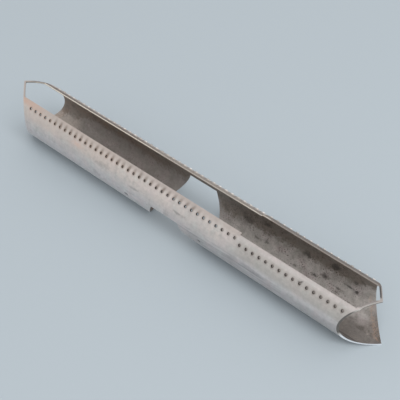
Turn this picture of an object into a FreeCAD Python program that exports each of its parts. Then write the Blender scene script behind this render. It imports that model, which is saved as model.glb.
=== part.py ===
import FreeCAD, Part
import os

import Sketcher

os.makedirs("parts", exist_ok=True)
doc = FreeCAD.newDocument("burner_tube")
vector = FreeCAD.Vector

# A slotted burner tube of 1.2 mm stainless sheet, made of two rolled sections that are
# butt-welded end to end. The tube lies along X with its axis on the X axis, and its
# wide slot faces up (+Z). Each free end is cut to a point in plan, and a narrow bridge
# of the wall closes the slot there. The origin is on the axis, midway between the two
# points. Lengths are millimetres and angles are degrees.

DRIVING_SIZES = [
    ("tube_diameter", 45.0, "outside diameter of both sections"),
    ("wall", 1.2, "sheet thickness"),
    ("long_length", 250.0, "weld plane to the point of the long section"),
    ("short_length", 115.0, "weld plane to the point of the short section"),
    ("mitre_angle", 45.0, "angle between each end cut and the tube's axis"),
    ("long_slot_angle", 30.0, "half the slot of the long section, from the top"),
    ("short_slot_angle", 35.0, "half the slot of the short section, from the top"),
    ("bridge_width", 1.4, "width of the narrow bridge across each end"),
    ("long_setback", 0.0, "how far the long end's bridge tip lies behind its point"),
    ("short_setback", 3.0, "how far the short end's bridge tip lies behind its point"),
    ("tip_gap", 0.8, "gap between the two halves of a bridge, filled by a weld"),
    ("root_gap", 0.6, "gap between the sections, filled by the seam weld"),
    ("weld_proud", 0.3, "how far the seam weld stands inside the bore"),
    ("port_bore", 1.8, "diameter of a flame port"),
    ("port_pitch", 6.0, "spacing of the flame ports along the tube"),
    ("long_port_angle", 44.5, "port rows of the long section, from the top"),
    ("short_port_angle", 51.5, "port rows of the short section, from the top"),
    ("long_port_margin", 25.0, "point of the long section to its last port"),
    ("short_port_margin", 22.0, "point of the short section to its last port"),
    ("opening_width", 27.6, "straight top edge of the opening underneath"),
    ("opening_base", 56.8, "width of that opening at the bottom of the tube"),
    ("opening_top", 1.0, "height of its top edge above the axis"),
    ("opening_flare", 50.0, "radius of its curved ends"),
    ("opening_offset", -0.8, "place of its middle along the tube"),
]

# Sizes worked out from the driving ones, as formulas of the sheet.
DERIVED_SIZES = [
    ("outer_radius", "=tube_diameter / 2"),
    ("inner_radius", "=outer_radius - wall"),
    ("half_length", "=(long_length + short_length) / 2"),
    ("weld_plane", "=(long_length - short_length) / 2"),
    ("reach", "=outer_radius + 1"),
    ("mitre_run", "=reach / tan(mitre_angle * 1deg)"),
    ("bridge_run", "=bridge_width / sin(mitre_angle * 1deg)"),
    ("long_vee", "=inner_radius * sin(long_slot_angle * 1deg)"),
    ("short_vee", "=inner_radius * sin(short_slot_angle * 1deg)"),
    ("long_vee_run", "=long_vee / tan(mitre_angle * 1deg)"),
    ("short_vee_run", "=short_vee / tan(mitre_angle * 1deg)"),
    ("port_clear", "=port_pitch / 2"),
]

sizes = doc.addObject("Spreadsheet::Sheet", "sizes")
for row, (alias, value, note) in enumerate(DRIVING_SIZES, start=1):
    sizes.set(f"A{row}", alias)
    sizes.set(f"B{row}", str(value))
    sizes.set(f"C{row}", note)
    sizes.setAlias(f"B{row}", alias)
for row, (alias, formula) in enumerate(DERIVED_SIZES, start=len(DRIVING_SIZES) + 1):
    sizes.set(f"A{row}", alias)
    sizes.setAlias(f"B{row}", alias)
    sizes.set(f"B{row}", formula)
doc.recompute()


def formula(text):
    """A formula whose sheet names are written as plain words."""
    words = [alias for alias, *_ in DRIVING_SIZES + DERIVED_SIZES]
    for word in sorted(words, key=len, reverse=True):
        text = text.replace(word, f"<{words.index(word)}>")
    for index, word in enumerate(words):
        text = text.replace(f"<{index}>", f"sizes.{word}")
    return text


def value_of(text):
    """The number that a formula gives now, used as a sketch's first guess."""
    return float(sizes.evalExpression(formula(text).replace("sizes.", "")))


def new_body(name):
    body = doc.addObject("PartDesign::Body", name)
    body.Label = name
    return body


def origin_feature(body, role):
    for feature in body.Origin.OriginFeatures:
        if feature.Role == role:
            return feature
    raise ValueError(role)


def new_sketch(body, name, role, base=("0", "0", "0"), turn_axis=None, turn="0"):
    """An empty sketch on one of the body's own planes, moved and turned by formulas."""
    sketch = body.newObject("Sketcher::SketchObject", name)
    sketch.AttachmentSupport = [(origin_feature(body, role), "")]
    sketch.MapMode = "FlatFace"
    if turn_axis:
        rotation = FreeCAD.Rotation(turn_axis, value_of(turn))
        sketch.AttachmentOffset = FreeCAD.Placement(vector(), rotation)
        sketch.setExpression("AttachmentOffset.Rotation.Angle", formula(turn))
    for letter, text in zip("xyz", base):
        if text != "0":
            sketch.setExpression(f"AttachmentOffset.Base.{letter}", formula(text))
    return sketch


def pin_point(sketch, shape, end, x_text, y_text):
    """Hold one end of a line or arc at a place given by two formulas."""
    if x_text == "0":
        sketch.addConstraint(Sketcher.Constraint("PointOnObject", shape, end, -2))
    else:
        distance = Sketcher.Constraint("DistanceX", -1, 1, shape, end, value_of(x_text))
        index = sketch.addConstraint(distance)
        sketch.setExpression(f"Constraints[{index}]", formula(x_text))
    if y_text == "0":
        sketch.addConstraint(Sketcher.Constraint("PointOnObject", shape, end, -1))
    else:
        distance = Sketcher.Constraint("DistanceY", -1, 1, shape, end, value_of(y_text))
        index = sketch.addConstraint(distance)
        sketch.setExpression(f"Constraints[{index}]", formula(y_text))


def draw_outline(sketch, corners):
    """A closed outline through corners that are pairs of formulas."""
    places = [vector(value_of(x_text), value_of(y_text), 0) for x_text, y_text in corners]
    for start, end in zip(places, places[1:] + places[:1]):
        sketch.addGeometry(Part.LineSegment(start, end), False)
    for line, (x_text, y_text) in enumerate(corners):
        previous = (line - 1) % len(corners)
        sketch.addConstraint(Sketcher.Constraint("Coincident", previous, 2, line, 1))
        pin_point(sketch, line, 1, x_text, y_text)


def draw_circle(sketch, radius_text, x_text="0", y_text="0"):
    centre = vector(value_of(x_text), value_of(y_text), 0)
    circle = sketch.addGeometry(Part.Circle(centre, vector(0, 0, 1), value_of(radius_text)), False)
    index = sketch.addConstraint(Sketcher.Constraint("Radius", circle, value_of(radius_text)))
    sketch.setExpression(f"Constraints[{index}]", formula(radius_text))
    pin_point(sketch, circle, 3, x_text, y_text)


def add_pad(body, name, sketch, length_text, backwards=False):
    pad = body.newObject("PartDesign::Pad", name)
    pad.Profile = sketch
    pad.setExpression("Length", formula(length_text))
    pad.Reversed = backwards
    sketch.Visibility = False
    doc.recompute()
    return pad


def add_cut(body, name, sketch, length_text, both_ways=False, backwards=False):
    """A pocket, refused when it takes nothing away."""
    before = body.Shape.Volume
    cut = body.newObject("PartDesign::Pocket", name)
    cut.Profile = sketch
    cut.setExpression("Length", formula(length_text))
    cut.Reversed = backwards
    if both_ways:
        cut.SideType = "Symmetric"
    sketch.Visibility = False
    doc.recompute()
    if body.Shape.Volume >= before - 1e-6:
        raise RuntimeError(f"{name} cuts nothing")
    return cut


def plan_sketch(body, name, side, height_text="0"):
    """A plan view sketch whose own origin is the point of a free end, at a height."""
    return new_sketch(body, name, "XY_Plane", (f"{side} * half_length", "0", height_text))


def cut_free_end(body, side, end_name):
    """Cut the free end to its point, set its bridge back, and open the slot up to it."""
    out = f"({side})"
    mitre = plan_sketch(body, f"{end_name}_mitre_outline", side)
    draw_outline(mitre, [
        ("0", "0"),
        (f"-{out} * mitre_run", "reach"),
        (f"{out} * reach", "reach"),
        (f"{out} * reach", "-reach"),
        (f"-{out} * mitre_run", "-reach"),
    ])
    add_cut(body, f"{end_name}_mitre", mitre, "4 * reach", both_ways=True)

    half = f"{end_name}_vee"
    setback = f"{end_name}_setback"
    if value_of(setback) > 0:
        blunt = plan_sketch(body, f"{end_name}_blunt_outline", side)
        draw_outline(blunt, [
            (f"-{out} * {setback}", "0"),
            (f"-{out} * {end_name}_vee_run", half),
            (f"{out} * reach", half),
            (f"{out} * reach", f"-{half}"),
            (f"-{out} * {end_name}_vee_run", f"-{half}"),
        ])
        add_cut(body, f"{end_name}_blunt_cut", blunt, "2 * reach", backwards=True)

    vee = plan_sketch(body, f"{end_name}_vee_outline", side)
    draw_outline(vee, [
        (f"-{out} * ({setback} + bridge_run)", "0"),
        (f"-{out} * ({end_name}_vee_run + bridge_run)", half),
        (f"-{out} * ({end_name}_vee_run + bridge_run)", f"-{half}"),
    ])
    add_cut(body, f"{end_name}_vee_cut", vee, "2 * reach", backwards=True)

    tip = plan_sketch(body, f"{end_name}_tip_outline", side)
    draw_outline(tip, [
        (f"{out} * wall", "tip_gap / 2"),
        (f"-{out} * ({setback} + bridge_run + wall)", "tip_gap / 2"),
        (f"-{out} * ({setback} + bridge_run + wall)", "-tip_gap / 2"),
        (f"{out} * wall", "-tip_gap / 2"),
    ])
    add_cut(body, f"{end_name}_tip_cut", tip, "2 * reach", backwards=True)


def cut_slot(body, name, base_text, angle_name, length_text, backwards):
    """Cut the slot along the tube with radial faces, as the edges of rolled sheet."""
    wedge = new_sketch(body, f"{name}_outline", "YZ_Plane", ("0", "0", base_text))
    spread = f"reach * tan({angle_name} * 1deg)"
    draw_outline(wedge, [("0", "0"), (spread, "reach"), (f"-{spread}", "reach")])
    add_cut(body, name, wedge, length_text, backwards=backwards)


def cut_port_row(body, side, end_name, row_name, row_side):
    """One row of flame ports, from half a pitch off the weld out towards the free end."""
    name = f"{end_name}_{row_name}"
    turn = f"{row_side} * {end_name}_port_angle"
    sketch = new_sketch(body, f"{name}_port_outline", "XY_Plane", turn_axis=vector(1, 0, 0), turn=turn)
    last_port = f"({side}) * (half_length - {end_name}_port_margin)"
    draw_circle(sketch, "port_bore / 2", last_port, "0")
    port = add_cut(body, f"{name}_port", sketch, "reach", backwards=True)

    space = f"({end_name}_length - {end_name}_port_margin - port_clear) / port_pitch"
    row = body.newObject("PartDesign::LinearPattern", f"{name}_row")
    row.Originals = [port]
    row.Direction = (origin_feature(body, "X_Axis"), [""])
    row.Reversed = side > 0
    row.setExpression("Length", formula(f"port_pitch * floor({space} + 0.001)"))
    row.setExpression("Occurrences", formula(f"floor({space} + 0.001) + 1"))
    body.Tip = row
    doc.recompute()
    return row


def make_section(name, side, end_name):
    """A rolled tube section from the weld plane out to its free end."""
    body = new_body(name)
    weld_face = f"weld_plane + ({side}) * root_gap / 2"
    length = f"{end_name}_length - root_gap / 2"
    ring = new_sketch(body, f"{name}_ring", "YZ_Plane", ("0", "0", weld_face))
    draw_circle(ring, "outer_radius")
    draw_circle(ring, "inner_radius")
    add_pad(body, f"{name}_tube", ring, length, backwards=side < 0)

    cut_free_end(body, side, end_name)
    cut_slot(
        body, f"{end_name}_slot", weld_face, f"{end_name}_slot_angle",
        f"{length} - {end_name}_vee_run - bridge_run", backwards=side > 0,
    )
    for row_name, row_side in (("near", 1), ("far", -1)):
        cut_port_row(body, side, end_name, row_name, row_side)
    return body


def cut_opening(body):
    """The opening underneath, with a straight top edge and ends that flare downwards."""
    sketch = new_sketch(body, "opening_outline", "XZ_Plane")
    top = "opening_top"
    low = "-outer_radius"
    below = "-reach"
    left_top = "opening_offset - opening_width / 2"
    right_top = "opening_offset + opening_width / 2"
    left_low = "opening_offset - opening_base / 2"
    right_low = "opening_offset + opening_base / 2"
    corners = [
        (left_top, top), (right_top, top), (right_low, low),
        (right_low, below), (left_low, below), (left_low, low),
    ]
    places = [vector(value_of(x_text), value_of(y_text), 0) for x_text, y_text in corners]
    flare = value_of("opening_flare")
    for index, start in enumerate(places):
        end = places[(index + 1) % len(places)]
        if index in (1, 5):
            sketch.addGeometry(flare_arc(start, end, flare), False)
        else:
            sketch.addGeometry(Part.LineSegment(start, end), False)
    # Both arcs run anticlockwise, so each begins at its lower or upper corner in turn.
    starts = {index: 1 for index in range(6)}
    ends = {index: 2 for index in range(6)}
    for arc in (1, 5):
        begins_at = sketch.Geometry[arc].StartPoint
        if begins_at.distanceToPoint(places[arc]) > 1e-3:
            starts[arc], ends[arc] = 2, 1
        index = sketch.addConstraint(Sketcher.Constraint("Radius", arc, flare))
        sketch.setExpression(f"Constraints[{index}]", formula("opening_flare"))
    for index, (x_text, y_text) in enumerate(corners):
        previous = (index - 1) % 6
        joint = Sketcher.Constraint("Coincident", previous, ends[previous], index, starts[index])
        sketch.addConstraint(joint)
        pin_point(sketch, index, starts[index], x_text, y_text)
    add_cut(body, "opening_cut", sketch, "4 * reach", both_ways=True)


def flare_arc(start, end, radius):
    """The arc of a radius between two places that bulges towards the opening's middle."""
    middle = (start + end) * 0.5
    along = end - start
    across = vector(-along.y, along.x, 0).normalize()
    sag = radius - (radius ** 2 - along.Length ** 2 / 4) ** 0.5
    return Part.Arc(start, middle - across * sag, end)


def make_seam_weld():
    """The butt weld, a ring as wide as the root gap, open where the short slot is."""
    body = new_body("seam_weld")
    ring = new_sketch(body, "seam_ring", "YZ_Plane", ("0", "0", "weld_plane - root_gap / 2"))
    draw_circle(ring, "outer_radius")
    draw_circle(ring, "inner_radius - weld_proud")
    add_pad(body, "seam_bead", ring, "root_gap")
    slot_base = "weld_plane - root_gap"
    cut_slot(body, "seam_slot", slot_base, "short_slot_angle", "2 * root_gap", backwards=True)
    return body


def make_bridge_weld(name, side, end_name):
    """The weld that joins the two halves of a bridge at the point of the tube."""
    out = f"({side})"
    body = new_body(name)
    sketch = plan_sketch(body, f"{name}_outline", side, "inner_radius")
    edge = "tip_gap / 2"
    tip = f"{end_name}_setback"
    shoulder = f"({tip} + tip_gap / 2 * ({end_name}_vee_run - {tip}) / {end_name}_vee)"
    draw_outline(sketch, [
        (f"-{out} * {tip}", "0"),
        (f"-{out} * {shoulder}", edge),
        (f"-{out} * (bridge_run + {shoulder})", edge),
        (f"-{out} * (bridge_run + {tip})", "0"),
        (f"-{out} * (bridge_run + {shoulder})", f"-{edge}"),
        (f"-{out} * {shoulder}", f"-{edge}"),
    ])
    add_pad(body, f"{name}_bead", sketch, "wall")
    return body


long_section = make_section("long_section", -1, "long")
cut_opening(long_section)
short_section = make_section("short_section", 1, "short")
seam_weld = make_seam_weld()
long_bridge_weld = make_bridge_weld("long_bridge_weld", -1, "long")
short_bridge_weld = make_bridge_weld("short_bridge_weld", 1, "short")
PARTS = [long_section, short_section, seam_weld, long_bridge_weld, short_bridge_weld]

doc.recompute()
for item in doc.Objects:
    if "Invalid" in item.State or "Error" in item.State:
        raise RuntimeError(f"{item.Name} failed: {item.State}")
for part in PARTS:
    if part.Shape.isNull() or not part.Shape.isValid():
        raise RuntimeError(f"{part.Label} has no valid shape")
for part in PARTS:
    part.Shape.exportStep(f"parts/{part.Label}.step")
    box = part.Shape.BoundBox
    print(f"{part.Label}: {len(part.Shape.Solids)} solid, {part.Shape.Volume:.1f} mm3,"
          f" X {box.XMin:.2f} to {box.XMax:.2f}, Z {box.ZMin:.2f} to {box.ZMax:.2f}")
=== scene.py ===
import math
from collections import namedtuple

import bpy
from mathutils import Matrix, Vector


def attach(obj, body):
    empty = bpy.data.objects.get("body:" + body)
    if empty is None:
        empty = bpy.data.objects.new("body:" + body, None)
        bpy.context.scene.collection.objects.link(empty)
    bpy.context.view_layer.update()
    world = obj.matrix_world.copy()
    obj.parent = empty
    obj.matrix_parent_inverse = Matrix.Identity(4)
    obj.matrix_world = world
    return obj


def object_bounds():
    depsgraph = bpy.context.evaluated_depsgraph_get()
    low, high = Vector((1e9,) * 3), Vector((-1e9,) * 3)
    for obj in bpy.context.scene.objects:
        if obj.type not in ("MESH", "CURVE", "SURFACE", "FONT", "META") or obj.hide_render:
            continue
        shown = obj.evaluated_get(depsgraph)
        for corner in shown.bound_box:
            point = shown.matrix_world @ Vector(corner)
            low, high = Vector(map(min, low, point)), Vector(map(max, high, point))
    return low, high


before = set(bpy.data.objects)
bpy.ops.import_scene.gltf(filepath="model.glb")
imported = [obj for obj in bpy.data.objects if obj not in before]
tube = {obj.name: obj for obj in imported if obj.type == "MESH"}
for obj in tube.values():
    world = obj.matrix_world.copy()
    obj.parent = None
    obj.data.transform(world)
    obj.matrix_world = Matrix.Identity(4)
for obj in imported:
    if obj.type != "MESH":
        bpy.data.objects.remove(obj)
cad_low, cad_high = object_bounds()

# ---- The bench and the light ----
# The tube lies on a plain pale bench under an even studio sky, with one broad soft
# lamp high on the right, so its shadow falls to the left.
bpy.ops.object.select_all(action="DESELECT")
bpy.ops.mesh.primitive_plane_add(size=8, location=(0, 0, cad_low.z))
bench = bpy.context.object
bench.name = "bench"
bpy.ops.object.transform_apply(location=True, rotation=True, scale=True)

bench_paint = bpy.data.materials.new("bench_paint")
bench_paint.use_nodes = True
paint = bench_paint.node_tree.nodes["Principled BSDF"]
paint.inputs["Base Color"].default_value = (0.42, 0.475, 0.51, 1)
paint.inputs["Roughness"].default_value = 0.6
bench.data.materials.append(bench_paint)

sky = bpy.data.worlds.new("studio_sky")
sky.use_nodes = True
sky.node_tree.nodes["Background"].inputs["Color"].default_value = (0.98, 0.985, 1.0, 1)
sky.node_tree.nodes["Background"].inputs["Strength"].default_value = 0.84
bpy.context.scene.world = sky

lamp_place = Vector((1.5, -0.3, 2.0))
bpy.ops.object.light_add(type="AREA", location=lamp_place)
lamp = bpy.context.object
lamp.name = "soft_lamp"
lamp.data.shape = "DISK"
lamp.data.size = 1.4
lamp.data.energy = 27
lamp.rotation_euler = (-lamp_place).to_track_quat("-Z", "Y").to_euler()

# ---- The camera ----
# It looks down on the tube from beyond the short section's end, on the near side.
# Its heading is from straight along +Y, and its dip is below level, in degrees.
camera_place = Vector((0.38721, -0.36061, 0.53852))
camera_heading = 45.818
camera_dip = 45.601
camera_roll = -4.378
camera_data = bpy.data.cameras.new("camera")
camera_data.sensor_width = 36
camera_data.lens = 89.56
camera_data.clip_start = 0.01
camera = bpy.data.objects.new("camera", camera_data)
bpy.context.scene.collection.objects.link(camera)
headed = Matrix.Rotation(math.radians(camera_heading), 4, "Z")
tilted = Matrix.Rotation(math.radians(90 - camera_dip), 4, "X")
rolled = Matrix.Rotation(math.radians(camera_roll), 4, "Z")
camera.matrix_world = Matrix.Translation(camera_place) @ headed @ tilted @ rolled
bpy.context.scene.camera = camera

# ---- The two rolled sections ----
# Stainless sheet 1.2 mm thick, rolled to a tube with a wide slot and punched with a row
# of flame ports each side. Years of flame have stained the rims and the far side brown,
# drawn soot up from the ports, and left a brown-grey crust inside.

# From here on, lengths are millimetres along the tube or out from its axis, and angles
# are degrees round it from the top, unless a length is given times a millimetre.
millimetre = 0.001
half_length = round(cad_high.x / millimetre, 3)
outer_radius = round(cad_high.z / millimetre, 3)
sheet_thickness = 1.2
inner_radius = outer_radius - sheet_thickness
port_pitch = 6.0

# Each section has a near and a far row of ports at the same angle, counted from the long
# end. Soot shows above the long section's near row between two places.
PortRows = namedtuple("PortRows", "angle first count")
long_ports = PortRows(angle=44.5, first=-157.5, count=38)
short_ports = PortRows(angle=51.5, first=70.5, count=16)
long_soot = (-130.0, 30.0)


class Shade:
    """A number or colour in a material, on which ordinary sums add Math nodes."""

    def __init__(self, tree, socket=None):
        self.tree = tree
        self.socket = socket

    def node(self, kind, settings=None, inputs=None, output=0):
        """Add any node: its settings first, then the values or links of its sockets."""
        made = self.tree.nodes.new(kind)
        for name, setting in (settings or {}).items():
            setattr(made, name, setting)
        for name, value in (inputs or {}).items():
            if isinstance(value, Shade):
                self.tree.links.new(value.socket, made.inputs[name])
            else:
                made.inputs[name].default_value = value
        return Shade(self.tree, made.outputs[output])

    def maths(self, operation, first, second=0.0):
        return self.node("ShaderNodeMath", {"operation": operation}, {0: first, 1: second})

    def __add__(self, other):
        return self.maths("ADD", self, other)

    def __radd__(self, other):
        return self.maths("ADD", other, self)

    def __sub__(self, other):
        return self.maths("SUBTRACT", self, other)

    def __rsub__(self, other):
        return self.maths("SUBTRACT", other, self)

    def __mul__(self, other):
        return self.maths("MULTIPLY", self, other)

    def __rmul__(self, other):
        return self.maths("MULTIPLY", other, self)

    def __truediv__(self, other):
        return self.maths("DIVIDE", self, other)

    def __abs__(self):
        return self.maths("ABSOLUTE", self)

    def root(self):
        return self.maths("SQRT", self)

    def rise(self, low, high):
        """0 below one value, 1 above the other, and a smooth step between."""
        settings = {"interpolation_type": "SMOOTHSTEP"}
        inputs = {"Value": self, "From Min": low, "From Max": high}
        return self.node("ShaderNodeMapRange", settings, inputs)

    def fall(self, low, high):
        return 1 - self.rise(low, high)

    def band(self, low, high, soft):
        """1 between two values and 0 outside them, with soft edges."""
        return self.rise(low - soft, low + soft) * self.fall(high - soft, high + soft)

    def blend(self, low_colour, high_colour):
        """One colour where this is 0 and another where it is 1."""
        settings = {"data_type": "RGBA", "clamp_factor": True}
        factor, colour_a, colour_b, mixed_colour = 0, 6, 7, 2
        inputs = {factor: self, colour_a: low_colour, colour_b: high_colour}
        return self.node("ShaderNodeMix", settings, inputs, mixed_colour)

    def tint(self, amount, colour):
        """This colour, moved towards another by an amount."""
        return amount.blend(self, colour)

    def dim(self, amount):
        """This colour or place times a number."""
        inputs = {"Vector": self, "Scale": amount}
        return self.node("ShaderNodeVectorMath", {"operation": "SCALE"}, inputs)

    def stretch(self, along, across, up):
        """This place with each of its three lengths times a number."""
        inputs = {0: self, 1: (along, across, up)}
        return self.node("ShaderNodeVectorMath", {"operation": "MULTIPLY"}, inputs)

    def noise(self, size, detail=3.0, rough=0.55):
        """Cloudy noise from 0 to 1 at this place, whose cells are about one size across."""
        inputs = {"Vector": self, "Scale": 1 / size, "Detail": detail, "Roughness": rough}
        return self.node("ShaderNodeTexNoise", {"noise_dimensions": "3D"}, inputs)


class Sheet:
    """Where a point of the sheet is on the tube, and the cloudy noise at that point."""

    def __init__(self, tree):
        self.start = Shade(tree)
        place = self.start.node("ShaderNodeTexCoord", output="Object").dim(1 / millimetre)
        self.along, self.across, up = [
            self.start.node("ShaderNodeSeparateXYZ", None, {"Vector": place}, axis)
            for axis in "XYZ"
        ]
        self.radius = (self.across * self.across + up * up).root()

        # The angle is plus on the near side and minus on the far side. Turned has no sign.
        self.angle = self.start.maths("ARCTAN2", self.across * -1.0, up) * (180 / math.pi)
        self.turned = abs(self.angle)
        self.from_cut = half_length - abs(self.across) - abs(self.along)

        # Rolling lines and rubbing run along the tube. The rest is cloudy, from a thumb's
        # width down to grains.
        drawn = place.stretch(0.03, 1, 1)
        self.grain = drawn.noise(0.55, 4.0, 0.6)
        self.streaks = drawn.noise(1.6, 3.0, 0.6)
        self.clouds = place.noise(24.0, 2.0)
        self.heat = place.noise(9.0, 2.0)
        self.smudges = place.noise(7.0, 4.0, 0.6)
        self.mottle = place.noise(2.6, 3.0, 0.6)
        self.specks = place.noise(0.9, 2.0, 0.5)
        self.ragged = self.smudges * 0.3 + self.mottle * 0.4 + self.specks * 0.3


def tone(red, green, blue):
    return (red, green, blue, 1)


def patch(sheet, middle, size, slant=0.0):
    """A soft ragged patch, whose middle and size are millimetres along and degrees round."""
    beyond = sheet.along - middle[0]
    below = sheet.angle - middle[1]
    aside = (beyond + below * slant) / size[0]
    above = below / size[1]
    reach = (aside * aside + above * above).root() + (sheet.ragged - 0.5) * 4.0
    return reach.fall(0.15, 1.20)


def soiled(sheet, finish, dirt, colour):
    """A finish with its patches of dirt laid over it in one colour."""
    for middle, size, amount, *slant in dirt:
        finish = finish.tint(patch(sheet, middle, size, *slant) * amount, colour)
    return finish


# The dirt on each face: the middle, size and amount of each patch, and any slant.
outside_dirt = [
    ((-42.0, 99.0), (2.6, 4.0), 0.75),
    ((35.0, 98.0), (3.2, 5.0), 0.90),
    ((13.0, 65.0), (7.0, 2.6), 0.40),
    ((-69.0, 65.0), (9.0, 6.5), 0.28, 0.2),
    ((-74.0, 92.0), (7.0, 5.0), 0.20),
    ((-33.0, 72.0), (7.0, 3.0), 0.28, 0.5),
    ((125.0, 47.8), (1.5, 3.8), 0.95, 0.42),
]
inside_dirt = [
    ((46.0, -110.0), (6.0, 15.0), 0.50),
    ((62.0, -94.0), (5.0, 8.0), 0.45),
    ((58.5, -133.5), (4.0, 4.5), 0.60),
    ((67.5, -131.0), (2.8, 5.0), 0.60),
    ((102.0, -106.0), (4.5, 9.0), 0.65),
    ((112.8, -136.0), (2.4, 4.5), 0.95),
    ((121.0, -126.5), (4.0, 6.5), 0.80),
    ((126.5, -95.0), (5.5, 9.0), 0.75),
    ((141.0, -119.5), (6.0, 2.6), 0.75),
    ((147.5, -121.0), (2.6, 4.5), 0.90),
    ((145.0, -104.0), (3.0, 5.0), 0.60),
    ((134.0, -134.0), (5.5, 2.4), 0.60),
    ((96.0, -141.0), (2.2, 4.0), 0.60),
]


def satin_skin(sheet):
    """The satin outside: warm near the rim, cooler low down, with rubbing and smudges."""
    along, turned, heat = sheet.along, sheet.turned, sheet.heat
    clouds, smudges, streaks = sheet.clouds, sheet.smudges, sheet.streaks

    warm = along.rise(60.0, 72.0).blend(tone(0.64, 0.578, 0.537), tone(0.625, 0.58, 0.557))
    cool = tone(0.625, 0.595, 0.59)
    skin = turned.rise(58.0, 92.0).blend(warm, cool)

    handled = clouds.rise(0.48, 0.70)
    skin = skin.tint(handled * 0.60, tone(0.55, 0.52, 0.50))
    smudged = smudges.rise(0.52, 0.74)
    skin = skin.tint(smudged * 0.55, tone(0.44, 0.42, 0.40))
    scuffed = streaks.rise(0.62, 0.74) * clouds.fall(0.40, 0.52)
    skin = skin.tint(scuffed * 0.60, tone(0.30, 0.28, 0.27))

    # Rolling lines show low on the side, with one long scratch among them.
    low_lines = streaks.rise(0.50, 0.58) * along.band(16.0, 110.0, 12.0) * turned.band(78.0, 104.0, 5.0)
    scratch = turned.band(87.4, 89.6, 0.9) * along.band(0.0, 95.0, 12.0)
    skin = skin.tint(low_lines * 0.3 + scratch * 0.3, tone(0.20, 0.19, 0.20))

    rosy = heat.rise(0.52, 0.68)
    skin = skin.tint(rosy * 0.35, tone(0.66, 0.575, 0.555))
    greenish = heat.fall(0.34, 0.48)
    skin = skin.tint(greenish * 0.30, tone(0.585, 0.605, 0.575))
    dull = along.rise(60.0, 75.0) * turned.band(43.0, 74.0, 5.0)
    skin = skin.tint(dull * 0.55, tone(0.42, 0.39, 0.35))
    # Painted shade darkens the side where it turns under, from the middle towards the short end.
    lower_side_shade = 0.16 * along.rise(-10.0, 30.0) * turned.rise(82.0, 92.0)
    skin = skin.dim(1 - lower_side_shade)
    skin = skin.dim(0.80 + 0.40 * sheet.mottle)
    skin = skin.dim(0.90 + 0.20 * sheet.grain)
    return soiled(sheet, skin, outside_dirt, tone(0.13, 0.12, 0.115))


def tanned_rim(sheet, skin):
    """Heat has tanned the rim, most along the long section, and turned its corner peach."""
    along, turned, smudges = sheet.along, sheet.turned, sheet.smudges
    tan = turned.fall(34.0, 45.0) * (0.55 + 0.45 * along.fall(60.0, 72.0)) * (0.5 + smudges)
    skin = skin.tint(tan * 0.62, tone(0.43, 0.37, 0.335))
    corner = along.fall(-160.0, -138.0) * sheet.angle.band(29.0, 42.0, 6.0) * (0.3 + smudges)
    skin = skin.tint(corner * 0.85, tone(0.66, 0.42, 0.315))
    flushed = along.fall(-80.0, -30.0) * turned.fall(58.0, 72.0)
    skin = skin.tint(flushed * 0.36, tone(0.56, 0.47, 0.41))
    blush = patch(sheet, (-99.0, 56.0), (7.0, 7.0))
    return skin.tint(blush * 0.30, tone(0.74, 0.47, 0.35))


def browned_far_side(sheet, skin, ports):
    """The side that faced the flame is stained brown between its rim and its ports."""
    stain = sheet.angle.band(5.5 - ports.angle, -10.0, 3.0) * (0.62 + 0.38 * sheet.smudges)
    paler = sheet.along.band(-50.0, 66.0, 30.0)
    brown = paler.blend(tone(0.135, 0.105, 0.085), tone(0.30, 0.25, 0.205))
    return skin.tint(stain, brown)


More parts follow.
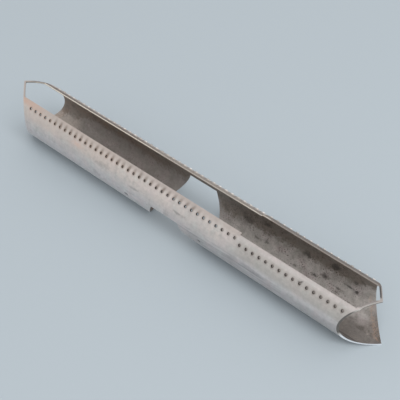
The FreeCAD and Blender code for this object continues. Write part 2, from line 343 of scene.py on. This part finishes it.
def port_marks(sheet, skin, bare, ports, soot_reach):
    """Each port's dark edge, lip with its painted glint and painted shadow, sooty bore, and what the
    flame drew from it.
    """
    along, turned = sheet.along, sheet.turned
    near = sheet.angle.rise(-5.0, 5.0)
    last_port = ports.first + (ports.count - 1) * port_pitch
    margin = port_pitch / 2
    in_row = along.band(ports.first - margin, last_port + margin, 0.2)

    # Millimetres from the middle of the nearest port, and that port's own chance number.
    step = sheet.start.maths("ROUND", (along - ports.first) / port_pitch)
    aside = along - ports.first - step * port_pitch
    above = (ports.angle - turned) * (math.pi / 180 * outer_radius)
    reach = (aside * aside + above * above).root()
    chance = sheet.start.node("ShaderNodeTexWhiteNoise", {"noise_dimensions": "1D"}, {"W": step})

    heated = along.fall(-60.0, 10.0)
    halo = heated.blend(tone(0.33, 0.30, 0.28), tone(0.37, 0.26, 0.19))
    skin = skin.tint(reach.fall(1.2, 3.1) * in_row * near * 0.28, halo)
    scorched = heated.blend(tone(0.15, 0.125, 0.105), tone(0.20, 0.14, 0.10))
    wobble = (sheet.mottle - 0.5) * 0.6
    edge = (reach + wobble).fall(1.05, 1.65) * in_row
    skin = skin.tint(edge * (0.25 + 0.35 * near), scorched)

    if soot_reach:
        # Soot streams up from each port, with a lean that changes along the row.
        lean = (along + 85.0) * 0.0028 + (chance - 0.5) * 0.25
        leaning = abs(aside - above * lean) + above * 0.10
        strength = along.band(*soot_reach, 5.0) * (0.36 + 0.32 * chance)
        strength = strength * (1 + 0.15 * along.rise(-75.0, -35.0))
        tail = leaning.fall(0.4, 2.4) * above.band(0.3, 3.8, 1.8) * strength
    else:
        # A short stain hangs below each port.
        leaning = abs(aside - above * 0.15) - above * 0.15
        tail = leaning.fall(0.4, 1.3) * above.band(-2.0, -0.3, 0.9) * (0.20 + 0.45 * chance)
    skin = skin.tint(tail * near * in_row, tone(0.20, 0.155, 0.125))

    # The far row's lips stand proud. Their crests are painted bright as glints, partly bare from wear,
    # and a painted shadow lies beside each.
    beside = (aside + 2.1) * 0.8
    below = (turned - ports.angle + 3.0) * 0.22
    lip_shadow = (beside * beside + below * below).root().fall(0.2, 1.5) * in_row
    skin = skin.tint(lip_shadow * (1 - near) * 0.65, tone(0.13, 0.105, 0.09))
    worn_glint = chance.blend(tone(0.53, 0.51, 0.48), tone(0.94, 0.92, 0.90))
    worn_glint = worn_glint.dim(0.88 + 0.12 * along.band(-30.0, 66.0, 25.0))
    proud = sheet.radius.rise(outer_radius + 0.1, outer_radius + 0.3) * (1 - near)
    skin = skin.tint(proud, worn_glint)

    bore = reach.fall(0.98, 1.06) * in_row * (1 - proud)
    sooty = heated.blend(tone(0.05, 0.044, 0.04), tone(0.11, 0.08, 0.06))
    return skin.tint(bore, sooty), bare.tint(bore, sooty)


def burnt_crust(sheet):
    """The inside: a brown-grey crust with darker spots, darkest high on the wall from soot and painted
    shade.
    """
    along, angle, turned, from_cut = sheet.along, sheet.angle, sheet.turned, sheet.from_cut
    clouds, heat, smudges = sheet.clouds, sheet.heat, sheet.smudges
    mottle, specks = sheet.mottle, sheet.specks

    # The dark upper wall, partly soot and partly painted shade, ends at a wandering foot, this far from
    # the top, above a paler floor.
    foot = 103.0 + 14.0 * along.band(20.0, 68.0, 6.0) + 9.0 * along.rise(62.0, 74.0)
    foot = foot + 24.0 * along.band(-164.0, -138.0, 5.0) - 17.0 * along.rise(143.0, 156.0)
    below_foot = turned + (clouds - 0.5) * 30.0 + (mottle - 0.5) * 22.0 - foot
    past_opening = along.rise(10.0, 40.0)
    floor_tone = past_opening.blend(tone(0.40, 0.36, 0.335), tone(0.56, 0.52, 0.49))
    shaded_wall_tone = past_opening.blend(tone(0.33, 0.275, 0.235), tone(0.305, 0.262, 0.226))
    crust = below_foot.fall(-9.0, 9.0).blend(floor_tone, shaded_wall_tone)

    dingy = smudges.rise(0.45, 0.68)
    crust = crust.tint(dingy * 0.45, tone(0.27, 0.24, 0.22))
    rosy = heat.rise(0.50, 0.66) * below_foot.rise(0.0, 10.0)
    crust = crust.tint(rosy * 0.45, tone(0.50, 0.42, 0.41))
    greenish = heat.fall(0.36, 0.50)
    crust = crust.tint(greenish * 0.25, tone(0.30, 0.30, 0.26))
    dark_floor = along.fall(-50.0, 20.0) * turned.rise(128.0, 142.0)
    crust = crust.tint(dark_floor * 0.45, tone(0.24, 0.215, 0.195))
    red_scale = along.fall(-90.0, -20.0) * turned.fall(90.0, 108.0) * mottle.rise(0.40, 0.60)
    crust = crust.tint(red_scale * 0.35, tone(0.33, 0.215, 0.14))
    pale_corner = along.fall(-146.0, -132.0) * below_foot.rise(-2.0, 6.0)
    crust = crust.tint(pale_corner * 0.7, tone(0.52, 0.455, 0.40))

    # Ash lies low on the near wall, along the bottom and in the short end's far corner,
    # and streaks of soot run along the near wall at the short end.
    ashes = angle.rise(105.0, 130.0) + (angle + (smudges - 0.5) * 50.0).fall(-178.0, -152.0)
    ashes = ashes + along.rise(158.0, 172.0) * angle.fall(-126.0, -112.0)
    crust = crust.tint(ashes * 0.85, tone(0.16, 0.14, 0.125))
    crust = crust.tint(ashes * smudges.rise(0.44, 0.62) * 0.40, tone(0.36, 0.32, 0.29))
    wall_gaps = below_foot.fall(-6.0, 4.0) * smudges.fall(0.38, 0.50)
    crust = crust.tint(wall_gaps * 0.45, tone(0.17, 0.145, 0.13))
    soot = angle.band(115.0, 150.0, 14.0) * along.rise(100.0, 140.0)
    sooty_streaks = 0.15 + 0.75 * sheet.streaks.rise(0.44, 0.56)
    crust = crust.tint(soot * sooty_streaks, tone(0.065, 0.058, 0.055))
    crust = crust.dim(0.76 + 0.48 * mottle)

    # Grains of scale pepper it, and blur into a fine mottle at the short end.
    short_end = along.rise(148.0, 156.0)
    peppered = specks.rise(0.53, 0.70) * (0.30 + 0.45 * past_opening)
    peppered = peppered * (0.35 + heat.rise(0.40, 0.60)) * (1 - 0.6 * short_end)
    crust = crust.dim(1 + (specks - 0.5) * 0.9 * short_end)
    crust = crust.tint(peppered, tone(0.085, 0.068, 0.056))
    crust = soiled(sheet, crust, inside_dirt, tone(0.06, 0.055, 0.05))
    crust = crust.dim(0.92 + 0.16 * sheet.grain)

    # The bottom is a little darker along the short section, and more so near its point.
    crust = crust.dim(1 - 0.13 * along.rise(60.0, 80.0) * turned.rise(130.0, 142.0))
    crust = crust.dim(1 - 0.18 * along.rise(170.0, 179.0) * turned.rise(140.0, 160.0))

    # Rust has started low down behind the end cuts, and inside the far rim.
    rusty_end = (from_cut + (smudges - 0.5) * 8.0).band(2.0, 6.5, 2.5) * angle.fall(-120.0, -100.0)
    crust = crust.tint(rusty_end * specks.rise(0.40, 0.60) * 0.5, tone(0.42, 0.27, 0.185))
    rusty_rim = angle.band(-41.0, -28.0, 3.5) * smudges.rise(0.40, 0.60)
    return crust.tint(rusty_rim * 0.55, tone(0.30, 0.165, 0.095))


def cut_edges(sheet, skin, bare):
    """Bare metal at the cuts, darker in places, with painted highlights and painted shade, and the two
    narrow end bridges.
    """
    along, angle, turned = sheet.along, sheet.angle, sheet.turned

    # The short end's cut is dark on its upper part and painted bright below as a highlight, and the
    # edges of the opening underneath are painted dark as shade.
    end_cut = along.rise(140.0, 150.0)
    bare = bare.tint(end_cut * turned.band(42.0, 108.0, 8.0) * 0.9, tone(0.11, 0.10, 0.09))
    bare = bare.tint(end_cut * turned.rise(104.0, 118.0), tone(0.90, 0.92, 0.95))
    # Painted shade: the opening's cut faces are near black.
    opening_cut_shade = along.band(-45.0, 50.0, 5.0) * turned.rise(88.0, 96.0)
    bare = bare.tint(opening_cut_shade * 0.9, tone(0.06, 0.06, 0.065))

    # The bridges are dull and darker underneath, with painted shade along the short one's slot side.
    bridge = abs(along).rise(156.0, 162.0) * turned.fall(28.0, 34.0)
    short_end = along.rise(0.0, 1.0)
    underside = sheet.radius.fall(inner_radius + 0.4, inner_radius + 0.8)
    bare = bare.tint(bridge * underside, tone(0.16, 0.14, 0.125))
    skin = skin.tint(bridge * (0.40 + 0.35 * short_end), tone(0.40, 0.37, 0.35))
    slotward_shade = (sheet.from_cut - 3.0 + 0.23 * abs(sheet.across)).rise(0.5, 0.9) * bridge * short_end
    skin = skin.tint(slotward_shade * angle.fall(-6.0, -2.0) * 0.9, tone(0.06, 0.055, 0.055))
    skin = skin.tint(slotward_shade * angle.rise(2.0, 6.0) * 0.75, tone(0.25, 0.225, 0.21))

    # The far rim's bare edge is painted a bright cream as a highlight on the long section, duller in
    # its middle, and dark on the short one.
    rim = angle.band(-50.0, -14.0, 4.0)
    cream = along.band(-38.0, 52.0, 16.0).blend(tone(0.93, 0.86, 0.76), tone(0.66, 0.61, 0.55))
    bare = bare.tint(rim * along.fall(60.0, 66.0), cream)
    bare = bare.tint(rim * along.rise(68.0, 80.0) * 0.8, tone(0.31, 0.28, 0.26))
    return skin, bare


def rolled_steel(name, ports=None, soot_reach=None):
    """Satin stainless sheet, as a material of one section of the tube or of its welds."""
    steel = bpy.data.materials.new(name)
    steel.use_nodes = True
    tree = steel.node_tree
    sheet = Sheet(tree)
    smudges, mottle = sheet.smudges, sheet.mottle

    skin = tanned_rim(sheet, satin_skin(sheet))
    bare = mottle.rise(0.35, 0.7).blend(tone(0.80, 0.75, 0.69), tone(0.62, 0.56, 0.50))
    if ports:
        skin = browned_far_side(sheet, skin, ports)
        skin, bare = port_marks(sheet, skin, bare, ports, soot_reach)
    crust = burnt_crust(sheet)
    skin, bare = cut_edges(sheet, skin, bare)

    # The skin lies on the outer face and the crust on the inner one. Every cut is bare.
    uncut = sheet.from_cut.rise(0.03, 0.12)
    outside = sheet.radius.rise(outer_radius - 0.3, outer_radius - 0.08) * uncut
    inside = sheet.radius.fall(inner_radius + 0.1, inner_radius + 0.3) * uncut
    colour = bare.tint(outside, skin).tint(inside, crust)
    rough = 0.40 + 0.12 * smudges + 0.12 * mottle + 0.12 * inside
    metal = 0.65 - 0.35 * inside
    height = sheet.grain * 0.4 + sheet.specks * 0.4 + smudges * 0.6
    bump_sizes = {"Strength": 0.4, "Distance": 0.12 * millimetre, "Height": height}
    bump = sheet.start.node("ShaderNodeBump", None, bump_sizes)

    surface = tree.nodes["Principled BSDF"]
    tree.links.new(colour.socket, surface.inputs["Base Color"])
    tree.links.new(rough.socket, surface.inputs["Roughness"])
    tree.links.new(metal.socket, surface.inputs["Metallic"])
    tree.links.new(bump.socket, surface.inputs["Normal"])
    return steel


def coat(node_name, material):
    """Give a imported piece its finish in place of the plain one."""
    for held in tube[node_name].material_slots:
        held.material = material


long_steel = rolled_steel("long_section_steel", long_ports, long_soot)
coat("long_section", long_steel)
short_steel = rolled_steel("short_section_steel", short_ports)
coat("short_section", short_steel)

# ---- The welds ----
# Weld metal joins the sections and closes the middle of each bridge. It is dressed flush
# outside, the seam stands a little proud inside, and the same crust has grown over it.
weld_steel = rolled_steel("weld_steel")
for weld in ("seam_weld", "long_bridge_weld", "short_bridge_weld"):
    coat(weld, weld_steel)

# ---- The lips of the flame ports ----
# Punching from inside leaves a low ring of metal standing round each port, thin and
# ragged at its crest. Each row is one ring, shaped once and copied along the tube.
lip_radius = 0.93 * millimetre
lip_root = 0.15 * millimetre
near_lip = 0.12 * millimetre
far_lip = 0.55 * millimetre


def extrude_ring(rise, spread):
    """Extrude the selected loop outwards from the tube, then open it out."""
    bpy.ops.mesh.extrude_region_move(TRANSFORM_OT_translate={"value": (0, 0, rise)})
    bpy.ops.transform.resize(value=(spread, spread, 1), center_override=(0, 0, 0))


def port_lips(name, ports, side, height, material):
    """A row of lips on one side of a section: 1 is the near side and -1 the far side."""
    skin_height = outer_radius * millimetre
    root = (0, 0, skin_height - lip_root)
    bpy.ops.object.select_all(action="DESELECT")
    bpy.ops.mesh.primitive_circle_add(vertices=12, radius=lip_radius, location=root)
    ring = bpy.context.object
    bpy.ops.object.transform_apply(location=True, rotation=True, scale=True)

    # Up the bore, out over the thin crest, and down the outside to the root again.
    bpy.ops.object.mode_set(mode="EDIT")
    bpy.ops.mesh.select_all(action="SELECT")
    extrude_ring(lip_root + height, 1.02)
    extrude_ring(-0.1 * height, 1.10)
    extrude_ring(-lip_root - 0.9 * height, 1.22)
    bpy.ops.mesh.select_all(action="DESELECT")
    bpy.ops.mesh.select_non_manifold()
    bpy.ops.mesh.bridge_edge_loops()
    bpy.ops.mesh.select_all(action="SELECT")
    bpy.ops.mesh.normals_make_consistent(inside=False)
    bpy.ops.object.mode_set(mode="OBJECT")

    # The crest's corners are ragged: each stands up to a fifth of its height high or low.
    for index, corner in enumerate(ring.data.vertices):
        if corner.co.z > skin_height + 0.01 * millimetre:
            corner.co.z += 0.2 * height * math.sin(index * 2.4)

    turn = Matrix.Rotation(math.radians(side * ports.angle), 4, "X")
    ring.data.transform(Matrix.Translation((ports.first * millimetre, 0, 0)) @ turn)
    row = [ring]
    for index in range(1, ports.count):
        copied = ring.copy()
        copied.data = ring.data.copy()
        copied.data.transform(Matrix.Translation((index * port_pitch * millimetre, 0, 0)))
        bpy.context.scene.collection.objects.link(copied)
        row.append(copied)
    for ring in row:
        ring.select_set(True)
    bpy.context.view_layer.objects.active = row[0]
    bpy.ops.object.join()
    lips = bpy.context.object
    lips.name = name
    lips.data.name = name
    bpy.ops.object.shade_smooth()
    lips.data.materials.append(material)
    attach(lips, "root")


port_lips("long_near_port_lips", long_ports, 1, near_lip, long_steel)
port_lips("long_far_port_lips", long_ports, -1, far_lip, long_steel)
port_lips("short_near_port_lips", short_ports, 1, near_lip, short_steel)
port_lips("short_far_port_lips", short_ports, -1, far_lip, short_steel)

bpy.context.scene.view_settings.view_transform = "Standard"
